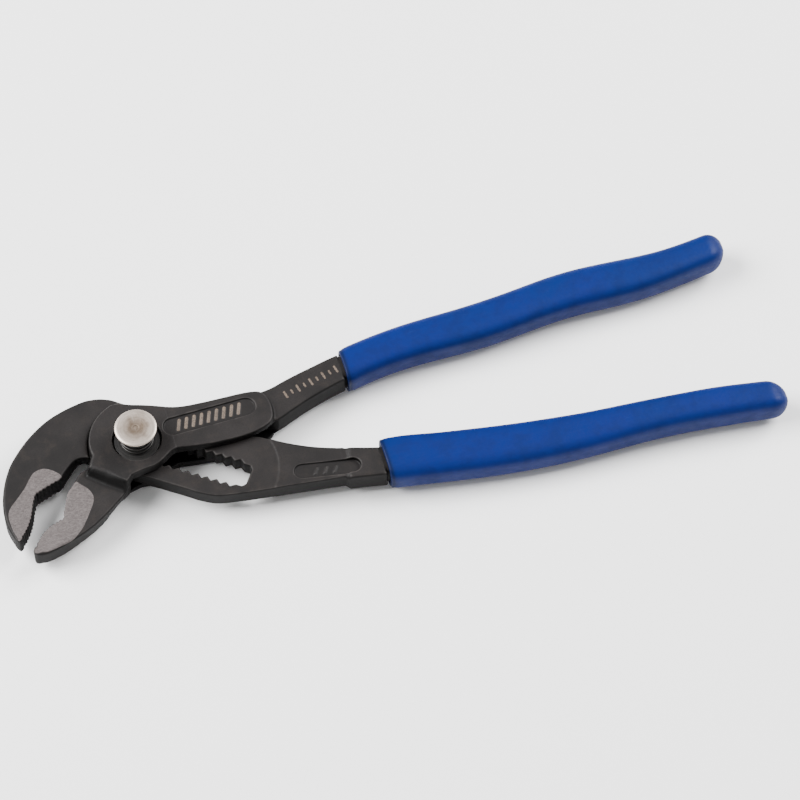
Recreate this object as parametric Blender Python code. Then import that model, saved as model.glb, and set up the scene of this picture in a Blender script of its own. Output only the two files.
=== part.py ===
"""Push-button box-joint water-pump pliers, about 250 mm long, lying flat with the button up.

Everything is worked out in millimetres about the pivot: +X towards the handles, +Y towards the upper handle, +Z towards the button. The finished pieces are then moved so that the origin is under the middle of the bounding box, in metres.
"""

import math

import bmesh
import bpy
from mathutils import Vector

MM = 0.001

# pivot, in the finished frame, is at (-ORIGIN_X, -ORIGIN_Y, CHEEK_Z)
ORIGIN_X = 78.075
ORIGIN_Y = -10.1375

# adjustment slot and the key that meshes in it
SLOT_ANGLE = math.radians(-35.0)
PITCH = 3.15
SLOT_TIP = 3.75
SLOT_ROOT = 4.95
SLOT_OFFSET = 0.35
SLOT_PHASE = 0.95
SLOT_START = -6.6
SLOT_LAST_TIP = 34.025
SLOT_END = 37.0
KEY_GAP = 0.3
KEY_R = 5.7

# thicknesses, as half heights about the middle plane
CHEEK_Z = 6.75
CHEEK_INNER_Z = 3.3
JAW_Z = 3.75
TONGUE_Z = 2.85
SHANK_Z = 4.0
PLATE_Z_NEAR = 6.70
PLATE_Z_FAR = 5.55
GRIP_Z = 5.5
GRIP_END = 6.0

# pivot pin, bores and button
BOSS_R = 15.2
REAR_BORE_R = 6.0
BEARING_R = 5.9
BEARING_TOP = -3.2
PIN_BOTTOM = -6.6
KEY_TOP = 1.0
NECK_R = 3.1
NECK_TOP = 12.0
FRONT_BORE_R = 3.4
POCKET_R = 7.65
POCKET_FLOOR = 4.75
CAP_R = 6.4
CAP_BOTTOM = 10.8
CAP_TOP = 13.8

EDGE = 0.4


# ---------------------------------------------------------------- scene and materials
for old in list(bpy.data.objects):
    bpy.data.objects.remove(old, do_unlink=True)


def material(name, colour, metallic, roughness):
    mat = bpy.data.materials.new(name)
    mat.use_nodes = True
    shader = mat.node_tree.nodes["Principled BSDF"]
    shader.inputs["Base Color"].default_value = (*colour, 1.0)
    shader.inputs["Metallic"].default_value = metallic
    shader.inputs["Roughness"].default_value = roughness
    mat.diffuse_color = (*colour, 1.0)
    return mat


BLACK_OXIDE_A = material("black_oxide_hook", (0.046, 0.042, 0.041), 0.6, 0.5)
BLACK_OXIDE_B = material("black_oxide_lever", (0.050, 0.046, 0.044), 0.6, 0.5)
NICKEL = material("satin_nickel", (0.62, 0.56, 0.50), 1.0, 0.3)
BARE_STEEL = material("bare_steel", (0.34, 0.33, 0.32), 1.0, 0.35)
SPRING_STEEL = material("spring_steel", (0.22, 0.21, 0.20), 1.0, 0.35)
WASHER_STEEL = material("washer_steel", (0.12, 0.115, 0.11), 1.0, 0.4)
BLUE_VINYL_A = material("blue_vinyl_upper", (0.010, 0.064, 0.36), 0.0, 0.45)
BLUE_VINYL_B = material("blue_vinyl_lower", (0.010, 0.060, 0.34), 0.0, 0.45)


# ---------------------------------------------------------------- shape helpers
def make(name, verts, faces, mat=None, smooth=False):
    """Mesh object, in millimetres about the pivot, with its faces turned outwards."""
    mesh = bpy.data.meshes.new(name)
    bm = bmesh.new()
    made = [bm.verts.new(v) for v in verts]
    for face in faces:
        bm.faces.new([made[i] for i in face])
    bmesh.ops.recalc_face_normals(bm, faces=bm.faces)
    for face in bm.faces:
        face.smooth = smooth
    bm.to_mesh(mesh)
    bm.free()
    obj = bpy.data.objects.new(name, mesh)
    bpy.context.scene.collection.objects.link(obj)
    if mat:
        mesh.materials.append(mat)
    return obj


def height(z, x, y):
    return z(x, y) if callable(z) else z


def prism(name, levels, mat=None):
    """Closed body through a stack of outlines with equal point counts. A level's height is a number or a function of x and y."""
    count = len(levels[0][1])
    verts = [(x, y, height(z, x, y)) for z, outline in levels for x, y in outline]
    faces = [list(range(count))[::-1]]
    for k in range(len(levels) - 1):
        low, high = k * count, (k + 1) * count
        for i in range(count):
            j = (i + 1) % count
            faces.append([low + i, low + j, high + j, high + i])
    faces.append([(len(levels) - 1) * count + i for i in range(count)])
    return make(name, verts, faces, mat)


def inset(outline, d):
    """The outline moved inwards by d along each point's mean normal (outline runs anticlockwise)."""
    out = []
    n = len(outline)
    for i in range(n):
        a, b, c = (Vector(outline[(i + k) % n]) for k in (-1, 0, 1))
        e, f = (b - a).normalized(), (c - b).normalized()
        normal = Vector((-e.y, e.x)) + Vector((-f.y, f.x))
        normal.normalize()
        spread = max(0.6, normal.dot(Vector((-e.y, e.x))))
        out.append(tuple(b + normal * (d / spread)))
    return out


def plate(name, outline, half, edge=EDGE, mat=None):
    """Flat body about the middle plane with chamfered rims."""
    top = height(half, 0, 0) if not callable(half) else None
    small = inset(outline, edge)
    if top is not None:
        levels = [(-half, small), (edge - half, outline), (half - edge, outline), (half, small)]
    else:
        levels = [
            (lambda x, y: -half(x, y), small),
            (lambda x, y: edge - half(x, y), outline),
            (lambda x, y: half(x, y) - edge, outline),
            (half, small),
        ]
    return prism(name, levels, mat)


def curve(points, steps=4):
    """Smooth open curve through hand-placed points."""
    pts = [Vector(p) for p in points]
    pts = [2 * pts[0] - pts[1]] + pts + [2 * pts[-1] - pts[-2]]
    out = []
    for i in range(1, len(pts) - 2):
        a, b, c, d = pts[i - 1 : i + 3]
        for k in range(steps):
            t = k / steps
            out.append(tuple(0.5 * (2 * b + (c - a) * t + (2 * a - 5 * b + 4 * c - d) * t * t + (3 * b - a - 3 * c + d) * t ** 3)))
    out.append(tuple(pts[-2]))
    return out


def arc(r, start, end, count, cx=0.0, cy=0.0):
    """Points on a circle from start to end, in degrees."""
    angles = [math.radians(start + (end - start) * k / count) for k in range(count + 1)]
    return [(cx + r * math.cos(a), cy + r * math.sin(a)) for a in angles]


def serrate(points, pitch=1.3, depth=0.38):
    """Cuts fine gripping teeth along each straight piece of an open line, on its right hand side."""
    out = [points[0]]
    for a, b in zip(points, points[1:]):
        a, b = Vector(a), Vector(b)
        n = max(1, round((b - a).length / pitch))
        side = Vector(((b - a).y, -(b - a).x)).normalized()
        for k in range(n):
            out.append(tuple(a.lerp(b, (k + 0.5) / n) - side * depth))
            out.append(tuple(a.lerp(b, (k + 1) / n)))
    return out


def boolean(obj, other, operation):
    """Joins or cuts obj by other, and removes other."""
    modifier = obj.modifiers.new("cut", "BOOLEAN")
    modifier.operation = operation
    modifier.solver = "EXACT"
    modifier.object = other
    graph = bpy.context.evaluated_depsgraph_get()
    mesh = bpy.data.meshes.new_from_object(obj.evaluated_get(graph))
    obj.modifiers.clear()
    obj.data = mesh
    bpy.data.objects.remove(other, do_unlink=True)


def lathe(name, profile, segments=48, mat=None):
    """Ring or solid of revolution about the pivot axis from a closed (r, z) profile."""
    verts, faces, rings = [], [], []
    for r, z in profile:
        if r < 1e-6:
            rings.append([len(verts)])
            verts.append((0, 0, z))
        else:
            rings.append(list(range(len(verts), len(verts) + segments)))
            verts += [(r * math.cos(2 * math.pi * k / segments), r * math.sin(2 * math.pi * k / segments), z) for k in range(segments)]
    closed = len(rings[0]) > 1 and len(rings[-1]) > 1
    pairs = list(zip(rings, rings[1:])) + ([(rings[-1], rings[0])] if closed else [])
    for low, high in pairs:
        if len(low) == 1 and len(high) == 1:
            continue
        for k in range(segments):
            j = (k + 1) % segments
            if len(low) == 1:
                faces.append([low[0], high[j], high[k]])
            elif len(high) == 1:
                faces.append([low[k], low[j], high[0]])
            else:
                faces.append([low[k], low[j], high[j], high[k]])
    return make(name, verts, faces, mat, smooth=True)


def table(stations, x):
    """Straight-line reading of a hand-made table of (x, value, value, ...)."""
    if x <= stations[0][0]:
        return stations[0][1:]
    for low, high in zip(stations, stations[1:]):
        if x <= high[0]:
            t = (x - low[0]) / (high[0] - low[0])
            t = t * t * (3 - 2 * t) * 0.35 + t * 0.65
            return [p + (q - p) * t for p, q in zip(low[1:], high[1:])]
    return stations[-1][1:]


def sleeve_loft(name, stations, start, end, shrink, half_z, end_len, power, count, segments, mat=None, lip=0.0):
    """Rounded bar through handle stations (x, centre y, half width), with a domed far end."""
    verts, faces = [], []
    xs = []
    for k in range(count + 1):
        xs.append(start + (end - end_len - start) * k / count)
    for k in range(1, 7):
        xs.append(end - end_len + end_len * math.sin(math.radians(90 * k / 7)))
    for n, x in enumerate(xs):
        yc, hw = table(stations, x)
        hw -= shrink
        hz = half_z
        t = max(0.0, (x - (end - end_len)) / end_len)
        s = math.sqrt(max(0.0, 1 - t * t))
        hw, hz = hw * s, hz * (0.35 + 0.65 * s) * (s if t > 0.9 else 1)
        if lip and n == 0:
            hw, hz = hw - lip, hz - lip
        for j in range(segments):
            a = 2 * math.pi * j / segments
            c, d = math.cos(a), math.sin(a)
            y = math.copysign(abs(c) ** (2 / power), c) * hw
            z = math.copysign(abs(d) ** (2 / power), d) * hz
            verts.append((x, yc + y, z))
    rings = len(xs)
    for k in range(rings - 1):
        for j in range(segments):
            i = (j + 1) % segments
            faces.append([k * segments + j, k * segments + i, (k + 1) * segments + i, (k + 1) * segments + j])
    faces.append(list(range(segments)))
    yc, _ = table(stations, end)
    tip = len(verts)
    verts.append((end, yc, 0))
    base = (rings - 1) * segments
    for j in range(segments):
        faces.append([base + j, base + (j + 1) % segments, tip])
    return make(name, verts, faces, mat, smooth=True)


def slot_point(u, v):
    """Slot coordinates (along, across) to plan."""
    c, s = math.cos(SLOT_ANGLE), math.sin(SLOT_ANGLE)
    return (u * c - v * s, u * s + v * c)


def tooth_height(u):
    """Half width of the toothed slot at u: roots at SLOT_PHASE plus whole pitches."""
    t = ((u - SLOT_PHASE) / PITCH) % 1.0
    rise = 2 * min(t, 1 - t)
    return SLOT_ROOT + (SLOT_TIP - SLOT_ROOT) * rise


# ---------------------------------------------------------------- outlines
HOOK_BACK = curve([
    (0.6, 15.1), (-0.6, 15.7), (-1.8, 16.5), (-2.9, 17.4), (-4.1, 18.2), (-5.4, 18.8), (-8, 19.7), (-12, 20.1),
    (-16, 19.5), (-20, 18.5), (-24, 17.1), (-28, 15.0),
    (-32, 12.2), (-35, 9.6), (-38, 6.5), (-40.5, 3.4), (-42.6, -0.3), (-44.3, -4.4), (-45.5, -8.6), (-46.1, -13),
    (-46.0, -17), (-45.0, -21.2), (-44.2, -23.0),
], 2)
HOOK_TIP = [(-43.6, -23.6), (-42.9, -23.2)]
HOOK_FACE_OUTER = [(-42.4, -22.5), (-41, -21), (-39.5, -18.9), (-38.2, -16.6), (-37.2, -14.1), (-36.3, -11.6), (-35, -8.8)]
HOOK_FACE_INNER = [(-35, -8.8), (-33, -8.0), (-30, -6.9), (-27.3, -6.0)]
HOOK_THROAT = curve([(-25.7, -5.0), (-24.2, -3.4), (-22.2, -1.4), (-20.6, 0.1), (-19.3, 1.0), (-18, 1.3), (-16.6, 0.9), (-15.55, 0.4)], 2)
HOOK_INNER_R = 15.55

TONGUE_HIDDEN_TOP = [(29, -5.3), (25, -4.2), (21.6, -2.4), slot_point(0.6, 9.9), (4.2, 11.2), (2.7, 14.0), (0.2, 15.2)]
TONGUE_IN_HOOK = [(-6, 16.8), (-13, 16), (-18, 11), (-20, 5), (-17.5, 1.6), (-16.2, 0.2)]
TONGUE_LOWER = [slot_point(-12.2, -9.5), slot_point(-10, -9.9), slot_point(20, -9.9)]
ARM_BOTTOM = curve([(13.2, -21.5), (16, -23.2), (19, -24.6), (23, -25.5), (31, -26.6), (41, -27.7), (51, -28.8), (61.5, -29.9)], 2)
ARM_TOP = curve([(61.5, -19.4), (58, -18.2), (54, -16.7), (50, -15.0), (45, -12.4), (41, -10.0), (37, -7.7), (33, -6.2)], 2)
LOWER_SHANK_BOTTOM = [(59.6, -30.2), (60.4, -30.9), (65, -31.6), (69, -32.3), (72.3, -32.9)]
LOWER_SHANK_TOP = [(72.3, -22.6), (69, -21.7), (65, -20.5), (61.0, -19.3), (60.2, -19.4)]

JAW_ROOT_TOP = [(-13.0, -4.9), (-17.0, -4.4)]
JAW_THROAT = curve([(-17.6, -4.4), (-19.5, -4.9), (-20.8, -5.9), (-22.5, -8), (-24.5, -10), (-25.9, -12)], 2)
JAW_FACE_INNER = [(-25.9, -12.0), (-27, -14.5), (-28, -17), (-28.7, -19.3)]
JAW_FACE_OUTER = [(-28.7, -19.3), (-31, -19.9), (-33.6, -20.9), (-35.5, -22.0), (-37, -23.5), (-38.5, -25.3), (-39.7, -26.8)]
JAW_TIP = [(-40.3, -27.9), (-40.1, -28.9), (-39.2, -29.5)]
JAW_BACK = curve([
    (-37, -29.8), (-35, -29.5), (-32, -28.6), (-29, -27.5), (-26, -26.1), (-23, -24.7), (-20, -23.2), (-17, -21.6),
    (-14.5, -19.8), (-12, -17.8), (-10, -16.1), (-8.4, -14.7),
], 2)
JAW_ROOT_INNER = [(-6.9, -13.0), (-8.6, -8.8)]

BOSS_ARC = arc(BOSS_R, 108, 187, 18)
# the left edge runs down to a steep ramp that meets the jaw's face; FACE is at the cheek's surface, FOOT on the jaw
BOSS_FACE = [(-15.8, -3.0), (-16.5, -4.2), (-17.0, -5.7), (-6.8, -14.8)]
BOSS_FOOT = [(-15.9, -3.0), (-16.7, -4.2), (-17.7, -6.6), (-7.9, -15.9)]
BOSS_BOTTOM = [(-4.6, -12.0), (-0.6, -11.2), (3.4, -10.7), (6.4, -9.2), (9.2, -7.3), (11.4, -6.5)]
BOSS_TOP = [(11.4, 9.1), (8.5, 10.3), (5.6, 11.4), (3.8, 12.0), (1.7, 12.65), (0.0, 13.3), (-1.3, 13.9), (-3.0, 14.4)]
PLATE_BOTTOM = [(9.0, -7.0), (11.4, -6.6), (15, -7.1), (20, -7.7), (25, -8.0), (30, -8.0), (35, -7.6), (39.4, -6.5), (42.0, -5.2)]
PLATE_END = [(43.4, -3.2), (43.9, -0.4), (43.8, 2.4), (43.0, 4.8), (41.6, 6.6)]
PLATE_TOP = [(39.4, 7.3), (36, 7.6), (30, 7.6), (24, 7.6), (18, 7.8), (14.4, 8.3), (11.4, 9.2), (9.0, 10.0)]
UPPER_SHANK_BOTTOM = [(38.5, -4.6), (42.5, -4.6), (46.2, -3.6), (50, -2.0), (55, 0.0), (60, 1.7), (65, 3.2), (69.1, 4.2)]
UPPER_SHANK_TOP = [(69.1, 13.8), (65, 13.0), (60, 11.8), (55, 10.6), (50.5, 9.4), (46, 8.0), (42.5, 7.4), (38.5, 7.0)]

# through-window between the cheeks, wide enough for the tongue at every setting
WINDOW = [
    (-34, 7.8), (-13.9, -3.9), (-8.15, -7.25), (-4.1, -16.8), (8, -34), (46, -34), (47.2, -6.0), (44.6, -4.0),
    (40, -2.0), (35, -0.4), (30, 1.6), (25.7, 3.7), (21.6, 5.7), (18.6, 6.8), (17.6, 12), (10, 26), (-20, 34), (-40, 26),
]
PILL_START, PILL_END, PILL_Y0, PILL_Y1, PILL_R = 12.0, 35.8, 1.3, 2.3, 3.1
LOWER_PILL = ((47.0, -23.9), (62.8, -26.6), 2.5)

# handle stations: x, centre y, half width
UPPER_HANDLE = [
    (60, 6.8, 6.8), (70, 9.3, 6.62), (80, 11.3, 6.45), (90, 12.5, 6.5), (100, 13, 6.65), (110, 13.2, 6.85),
    (120, 13.8, 6.95), (130, 14.9, 6.9), (140, 16.1, 6.95), (150, 16.7, 7), (160, 16.5, 7), (170, 16.3, 6.65),
    (180, 16.7, 6.05), (190, 17.9, 5.7), (201.5, 19.6, 5.65),
]
LOWER_HANDLE = [
    (60, -25.2, 8), (73, -27.11, 7.9), (80, -27.97, 8.05), (90, -29.7, 7.9), (100, -31.3, 7.8), (110, -32.7, 7.65),
    (120, -33.8, 7.4), (130, -34.6, 7.05), (140, -35.1, 6.6), (150, -35.3, 6.2), (160, -35.6, 5.9), (170, -36.2, 5.8),
    (180, -37.05, 5.8), (190, -38.25, 5.6), (202.3, -40.05, 5.35),
]
UPPER_START, UPPER_END = 69.8, 201.3
LOWER_START, LOWER_END = 73.0, 202.3


def pill(a, b, r, count=10):
    """Capsule outline from a to b."""
    a, b = Vector(a), Vector(b)
    angle = math.degrees(math.atan2((b - a).y, (b - a).x))
    return arc(r, angle - 90, angle + 90, count, b.x, b.y) + arc(r, angle + 90, angle + 270, count, a.x, a.y)


def plate_height(x, y):
    return PLATE_Z_NEAR + (PLATE_Z_FAR - PLATE_Z_NEAR) * (x - 9.0) / 35.0


# ---------------------------------------------------------------- hook jaw lever, with the toothed slot
hook = HOOK_BACK + HOOK_TIP + serrate(HOOK_FACE_OUTER) + serrate(HOOK_FACE_INNER)[1:] + HOOK_THROAT + arc(HOOK_INNER_R, 177, 92, 14)
slot_arm = plate("slot_arm", hook, JAW_Z, mat=BLACK_OXIDE_A)
tongue = TONGUE_IN_HOOK + TONGUE_LOWER + ARM_BOTTOM + ARM_TOP + TONGUE_HIDDEN_TOP
boolean(slot_arm, plate("tongue", tongue, TONGUE_Z), "UNION")
boolean(slot_arm, plate("lower_shank", LOWER_SHANK_BOTTOM + LOWER_SHANK_TOP, SHANK_Z), "UNION")
boolean(slot_arm, sleeve_loft("tang", LOWER_HANDLE, 63.0, LOWER_END - 9, 2.75, SHANK_Z - 0.15, 6, 4, 16, 20), "UNION")

edge_line = [(SLOT_START, 2.6)]
u = SLOT_PHASE - 2 * PITCH
while u < SLOT_LAST_TIP + 0.01:
    edge_line.append((u, tooth_height(u)))
    u += PITCH / 2
edge_line += [(36.0, SLOT_TIP), (SLOT_END, 2.6)]
slot = [slot_point(a, SLOT_OFFSET - b) for a, b in edge_line] + [slot_point(a, SLOT_OFFSET + b) for a, b in reversed(edge_line)]
boolean(slot_arm, prism("slot", [(-9, slot), (9, slot)]), "DIFFERENCE")
recess = pill(*LOWER_PILL)
boolean(slot_arm, prism("recess", [(TONGUE_Z - 0.35, recess), (9, recess)]), "DIFFERENCE")

# ---------------------------------------------------------------- button lever: fixed jaw, two cheeks, shank
boss_a = BOSS_ARC + BOSS_FACE + BOSS_BOTTOM + BOSS_TOP
boss_b = BOSS_ARC + BOSS_FOOT + BOSS_BOTTOM + BOSS_TOP
small = inset(boss_a, EDGE)
button_arm = prism("button_arm", [
    (-CHEEK_Z, small), (EDGE - CHEEK_Z, boss_a), (-JAW_Z, boss_b), (JAW_Z, boss_b), (CHEEK_Z - EDGE, boss_a), (CHEEK_Z, small),
], BLACK_OXIDE_B)
jaw = JAW_ROOT_TOP + JAW_THROAT[:-1] + serrate(JAW_FACE_INNER) + serrate(JAW_FACE_OUTER)[1:] + JAW_TIP + JAW_BACK + JAW_ROOT_INNER
boolean(button_arm, plate("jaw", jaw, JAW_Z), "UNION")
boolean(button_arm, plate("cheek_plate", PLATE_BOTTOM + PLATE_END + PLATE_TOP, plate_height), "UNION")
boolean(button_arm, plate("upper_shank", UPPER_SHANK_BOTTOM + UPPER_SHANK_TOP, SHANK_Z), "UNION")
boolean(button_arm, sleeve_loft("tang", UPPER_HANDLE, 61.0, UPPER_END - 9, 2.0, SHANK_Z - 0.15, 6, 4, 16, 20), "UNION")
boolean(button_arm, prism("window", [(-CHEEK_INNER_Z, WINDOW), (CHEEK_INNER_Z, WINDOW)]), "DIFFERENCE")
recess = pill((PILL_START, PILL_Y0), (PILL_END, PILL_Y1), PILL_R)
boolean(button_arm, prism("recess", [(lambda x, y: plate_height(x, y) - 0.5, recess), (9, recess)]), "DIFFERENCE")
boolean(button_arm, lathe("rear_bore", [(0, -9), (REAR_BORE_R, -9), (REAR_BORE_R, -2), (0, -2)]), "DIFFERENCE")
boolean(button_arm, lathe("front_bore", [(0, 2), (FRONT_BORE_R, 2), (FRONT_BORE_R, POCKET_FLOOR), (POCKET_R, POCKET_FLOOR), (POCKET_R, 9), (0, 9)]), "DIFFERENCE")

# ---------------------------------------------------------------- pivot pin: bearing, toothed key, neck
pivot_pin = lathe("pivot_pin", [
    (0, PIN_BOTTOM), (BEARING_R - 0.5, PIN_BOTTOM), (BEARING_R, PIN_BOTTOM + 0.5), (BEARING_R, BEARING_TOP), (NECK_R, BEARING_TOP),
    (NECK_R, NECK_TOP - 0.3), (NECK_R - 0.3, NECK_TOP), (0, NECK_TOP),
], 48, BARE_STEEL)
key_low, key_high = [], []
steps = 44
for k in range(steps + 1):
    u = -KEY_R + 2 * KEY_R * k / steps
    if k in (0, steps):
        u *= 0.985
    limit = math.sqrt(KEY_R ** 2 - u ** 2)
    half = tooth_height(u) - KEY_GAP
    key_low.append(slot_point(u, max(-limit, SLOT_OFFSET - half)))
    key_high.append(slot_point(u, min(limit, SLOT_OFFSET + half)))
key = key_low + key_high[::-1]
boolean(pivot_pin, prism("key", [(BEARING_TOP - 0.2, key), (KEY_TOP, key)]), "UNION")

# ---------------------------------------------------------------- button, spring and its seat
lathe("button_cap", [
    (NECK_R + 0.06, CAP_BOTTOM), (4.0, CAP_BOTTOM), (4.2, CAP_BOTTOM + 0.2), (4.2, 12.5), (5.5, 12.5), (CAP_R - 0.1, 13.05),
    (CAP_R, 13.2), (CAP_R, 13.4), (CAP_R - 0.3, 13.66), (CAP_R - 0.9, CAP_TOP), (2.0, CAP_TOP - 0.18),
    (0, CAP_TOP - 0.25), (0, NECK_TOP + 0.2), (NECK_R + 0.06, NECK_TOP + 0.2),
], 64, NICKEL)
lathe("spring_seat_washer", [
    (3.5, POCKET_FLOOR + 0.2), (7.2, POCKET_FLOOR + 0.2), (7.3, POCKET_FLOOR + 0.3), (7.3, 5.5), (7.1, 5.65), (3.6, 5.65), (3.5, 5.55),
], 56, WASHER_STEEL)


def coil(name, radius, wire, bottom, top, turns, mat):
    """Round-wire compression spring with closed ends."""
    per_turn, sides = 24, 8
    count = int(turns * per_turn)
    verts, faces = [], []
    for k in range(count + 1):
        t = k / count
        a = 2 * math.pi * turns * t
        ease = min(1.0, max(0.0, (t * turns - 0.75) / (turns - 1.5)))
        z = bottom + wire + ease * (top - bottom - 2 * wire - 1.5 * wire) + 0.75 * wire * (min(1, t * turns / 0.75) + max(0.0, (t * turns - turns + 0.75) / 0.75))
        for j in range(sides):
            b = 2 * math.pi * j / sides
            r = radius + wire * math.cos(b)
            verts.append((r * math.cos(a), r * math.sin(a), z + wire * math.sin(b)))
    for k in range(count):
        for j in range(sides):
            i = (j + 1) % sides
            faces.append([k * sides + j, k * sides + i, (k + 1) * sides + i, (k + 1) * sides + j])
    faces.append(list(range(sides)))
    faces.append([count * sides + j for j in range(sides)])
    return make(name, verts, faces, mat, smooth=True)


coil("button_spring", 5.0, 0.36, 5.75, 12.35, 4.25, SPRING_STEEL)

# ---------------------------------------------------------------- dipped handle sleeves
upper_grip = sleeve_loft("upper_grip", UPPER_HANDLE, UPPER_START, UPPER_END, 0.0, GRIP_Z, GRIP_END, 3.2, 20, 32, BLUE_VINYL_A, 0.35)
boolean(upper_grip, sleeve_loft("bore", UPPER_HANDLE, UPPER_START - 4, UPPER_END - 8.4, 1.65, SHANK_Z + 0.2, 6, 4, 16, 20), "DIFFERENCE")
lower_grip = sleeve_loft("lower_grip", LOWER_HANDLE, LOWER_START, LOWER_END, 0.0, GRIP_Z, GRIP_END, 3.2, 20, 32, BLUE_VINYL_B, 0.35)
boolean(lower_grip, sleeve_loft("bore", LOWER_HANDLE, LOWER_START - 4, LOWER_END - 8.4, 2.4, SHANK_Z + 0.2, 6, 4, 16, 20), "DIFFERENCE")


# ---------------------------------------------------------------- to metres, with each moving piece's origin on the pivot
SHADED_FLAT = ("slot_arm", "button_arm", "pivot_pin")
for obj in list(bpy.context.scene.collection.objects):
    mesh = obj.data
    for vert in mesh.vertices:
        vert.co *= MM
    if obj.name in SHADED_FLAT:
        for face in mesh.polygons:
            face.use_smooth = False
    obj.location = (-ORIGIN_X * MM, -ORIGIN_Y * MM, CHEEK_Z * MM)
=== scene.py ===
import math

import bpy
import numpy as np
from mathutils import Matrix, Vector


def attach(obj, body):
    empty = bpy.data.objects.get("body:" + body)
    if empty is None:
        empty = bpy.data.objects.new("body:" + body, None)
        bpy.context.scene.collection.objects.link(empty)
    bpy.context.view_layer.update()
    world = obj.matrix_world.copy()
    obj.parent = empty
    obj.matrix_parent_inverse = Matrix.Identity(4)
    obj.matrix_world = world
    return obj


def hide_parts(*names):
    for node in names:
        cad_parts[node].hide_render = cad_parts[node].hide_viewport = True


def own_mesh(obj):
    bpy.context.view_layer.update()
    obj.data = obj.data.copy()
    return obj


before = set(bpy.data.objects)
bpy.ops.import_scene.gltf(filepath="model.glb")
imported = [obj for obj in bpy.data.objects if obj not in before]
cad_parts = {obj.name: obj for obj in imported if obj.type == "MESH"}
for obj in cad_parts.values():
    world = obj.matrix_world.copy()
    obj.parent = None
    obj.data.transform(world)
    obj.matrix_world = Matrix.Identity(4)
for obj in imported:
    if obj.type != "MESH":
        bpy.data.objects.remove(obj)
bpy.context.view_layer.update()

# The shapes below are worked out in millimetres about the pivot, in the same layout as the frame, and moved by this.
ORIGIN = np.array([-78.075, 10.1375, 6.75])
MM = 0.001

SLOT_ANGLE = math.radians(-35.0)
PITCH, SLOT_TIP, SLOT_ROOT, SLOT_OFFSET, SLOT_PHASE = 3.15, 3.75, 4.95, 0.35, 0.95
SLOT_START, SLOT_LAST_TIP, SLOT_END = -6.6, 34.025, 37.0
KEY_GAP, KEY_R = 0.3, 5.7
CHEEK_Z, CHEEK_INNER_Z, JAW_Z, TONGUE_Z, SHANK_Z = 6.75, 3.3, 3.75, 2.85, 4.0
PLATE_Z_NEAR, PLATE_Z_FAR, GRIP_Z = 6.70, 5.55, 5.5
BOSS_R, REAR_BORE_R, BEARING_R, BEARING_TOP, PIN_BOTTOM, KEY_TOP = 15.2, 6.0, 5.9, -3.2, -6.6, 1.0
NECK_R, NECK_TOP, FRONT_BORE_R, POCKET_R, POCKET_FLOOR = 3.1, 12.0, 3.4, 7.65, 4.75
CAP_R, CAP_BOTTOM, CAP_TOP = 6.65, 10.8, 13.8


# ------------------------------------------------------------------ plan curves
def curve(points, steps=6):
    """Smooth open curve through points."""
    pts = [np.array(p, float) for p in points]
    pts = [2 * pts[0] - pts[1]] + pts + [2 * pts[-1] - pts[-2]]
    out = []
    for i in range(1, len(pts) - 2):
        a, b, c, d = pts[i - 1:i + 3]
        for k in range(steps):
            t = k / steps
            out.append(tuple(0.5 * (2 * b + (c - a) * t + (2 * a - 5 * b + 4 * c - d) * t * t + (3 * b - a - 3 * c + d) * t ** 3)))
    out.append(tuple(pts[-2]))
    return out


def closed_curve(points, steps=4):
    n = len(points)
    pts = [np.array(p, float) for p in points]
    out = []
    for i in range(n):
        a, b, c, d = pts[i - 1], pts[i], pts[(i + 1) % n], pts[(i + 2) % n]
        for k in range(steps):
            t = k / steps
            out.append(tuple(0.5 * (2 * b + (c - a) * t + (2 * a - 5 * b + 4 * c - d) * t * t + (3 * b - a - 3 * c + d) * t ** 3)))
    return out


def arc(r, start, end, count, cx=0.0, cy=0.0):
    angles = [math.radians(start + (end - start) * k / count) for k in range(count + 1)]
    return [(cx + r * math.cos(a), cy + r * math.sin(a)) for a in angles]


def serrate(points, pitch=1.3, depth=0.4):
    out = [points[0]]
    for a, b in zip(points, points[1:]):
        a, b = np.array(a), np.array(b)
        length = float(np.hypot(*(b - a)))
        n = max(1, round(length / pitch))
        side = np.array(((b - a)[1], -(b - a)[0])) / length
        for k in range(n):
            out.append(tuple(a + (b - a) * (k + 0.5) / n - side * depth))
            out.append(tuple(a + (b - a) * (k + 1) / n))
    return out


def slot_point(u, v):
    c, s = math.cos(SLOT_ANGLE), math.sin(SLOT_ANGLE)
    return (u * c - v * s, u * s + v * c)


def tooth_height(u):
    t = ((u - SLOT_PHASE) / PITCH) % 1.0
    rise = 2 * min(t, 1 - t)
    return SLOT_ROOT + (SLOT_TIP - SLOT_ROOT) * rise


def pill(a, b, r, count=16):
    a, b = np.array(a), np.array(b)
    angle = math.degrees(math.atan2((b - a)[1], (b - a)[0]))
    return arc(r, angle - 90, angle + 90, count, *b) + arc(r, angle + 90, angle + 270, count, *a)


HOOK_BACK = curve([
    (0.6, 15.1), (-0.6, 15.7), (-1.8, 16.5), (-2.9, 17.4), (-4.1, 18.2), (-5.4, 18.8), (-8, 19.7), (-12, 20.1),
    (-16, 19.5), (-20, 18.5), (-24, 17.1), (-28, 15.0),
    (-32, 12.2), (-35, 9.6), (-38, 6.5), (-40.5, 3.4), (-42.6, -0.3), (-44.3, -4.4), (-45.5, -8.6), (-46.1, -13),
    (-46.0, -17), (-45.0, -21.2), (-44.2, -23.0),
])
HOOK_TIP = [(-43.6, -23.6), (-42.9, -23.2)]
HOOK_FACE_OUTER = [(-42.4, -22.5), (-41, -21), (-39.5, -18.9), (-38.2, -16.6), (-37.2, -14.1), (-36.3, -11.6), (-35, -8.8)]
HOOK_FACE_INNER = [(-35, -8.8), (-33, -8.0), (-30, -6.9), (-27.3, -6.0)]
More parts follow.
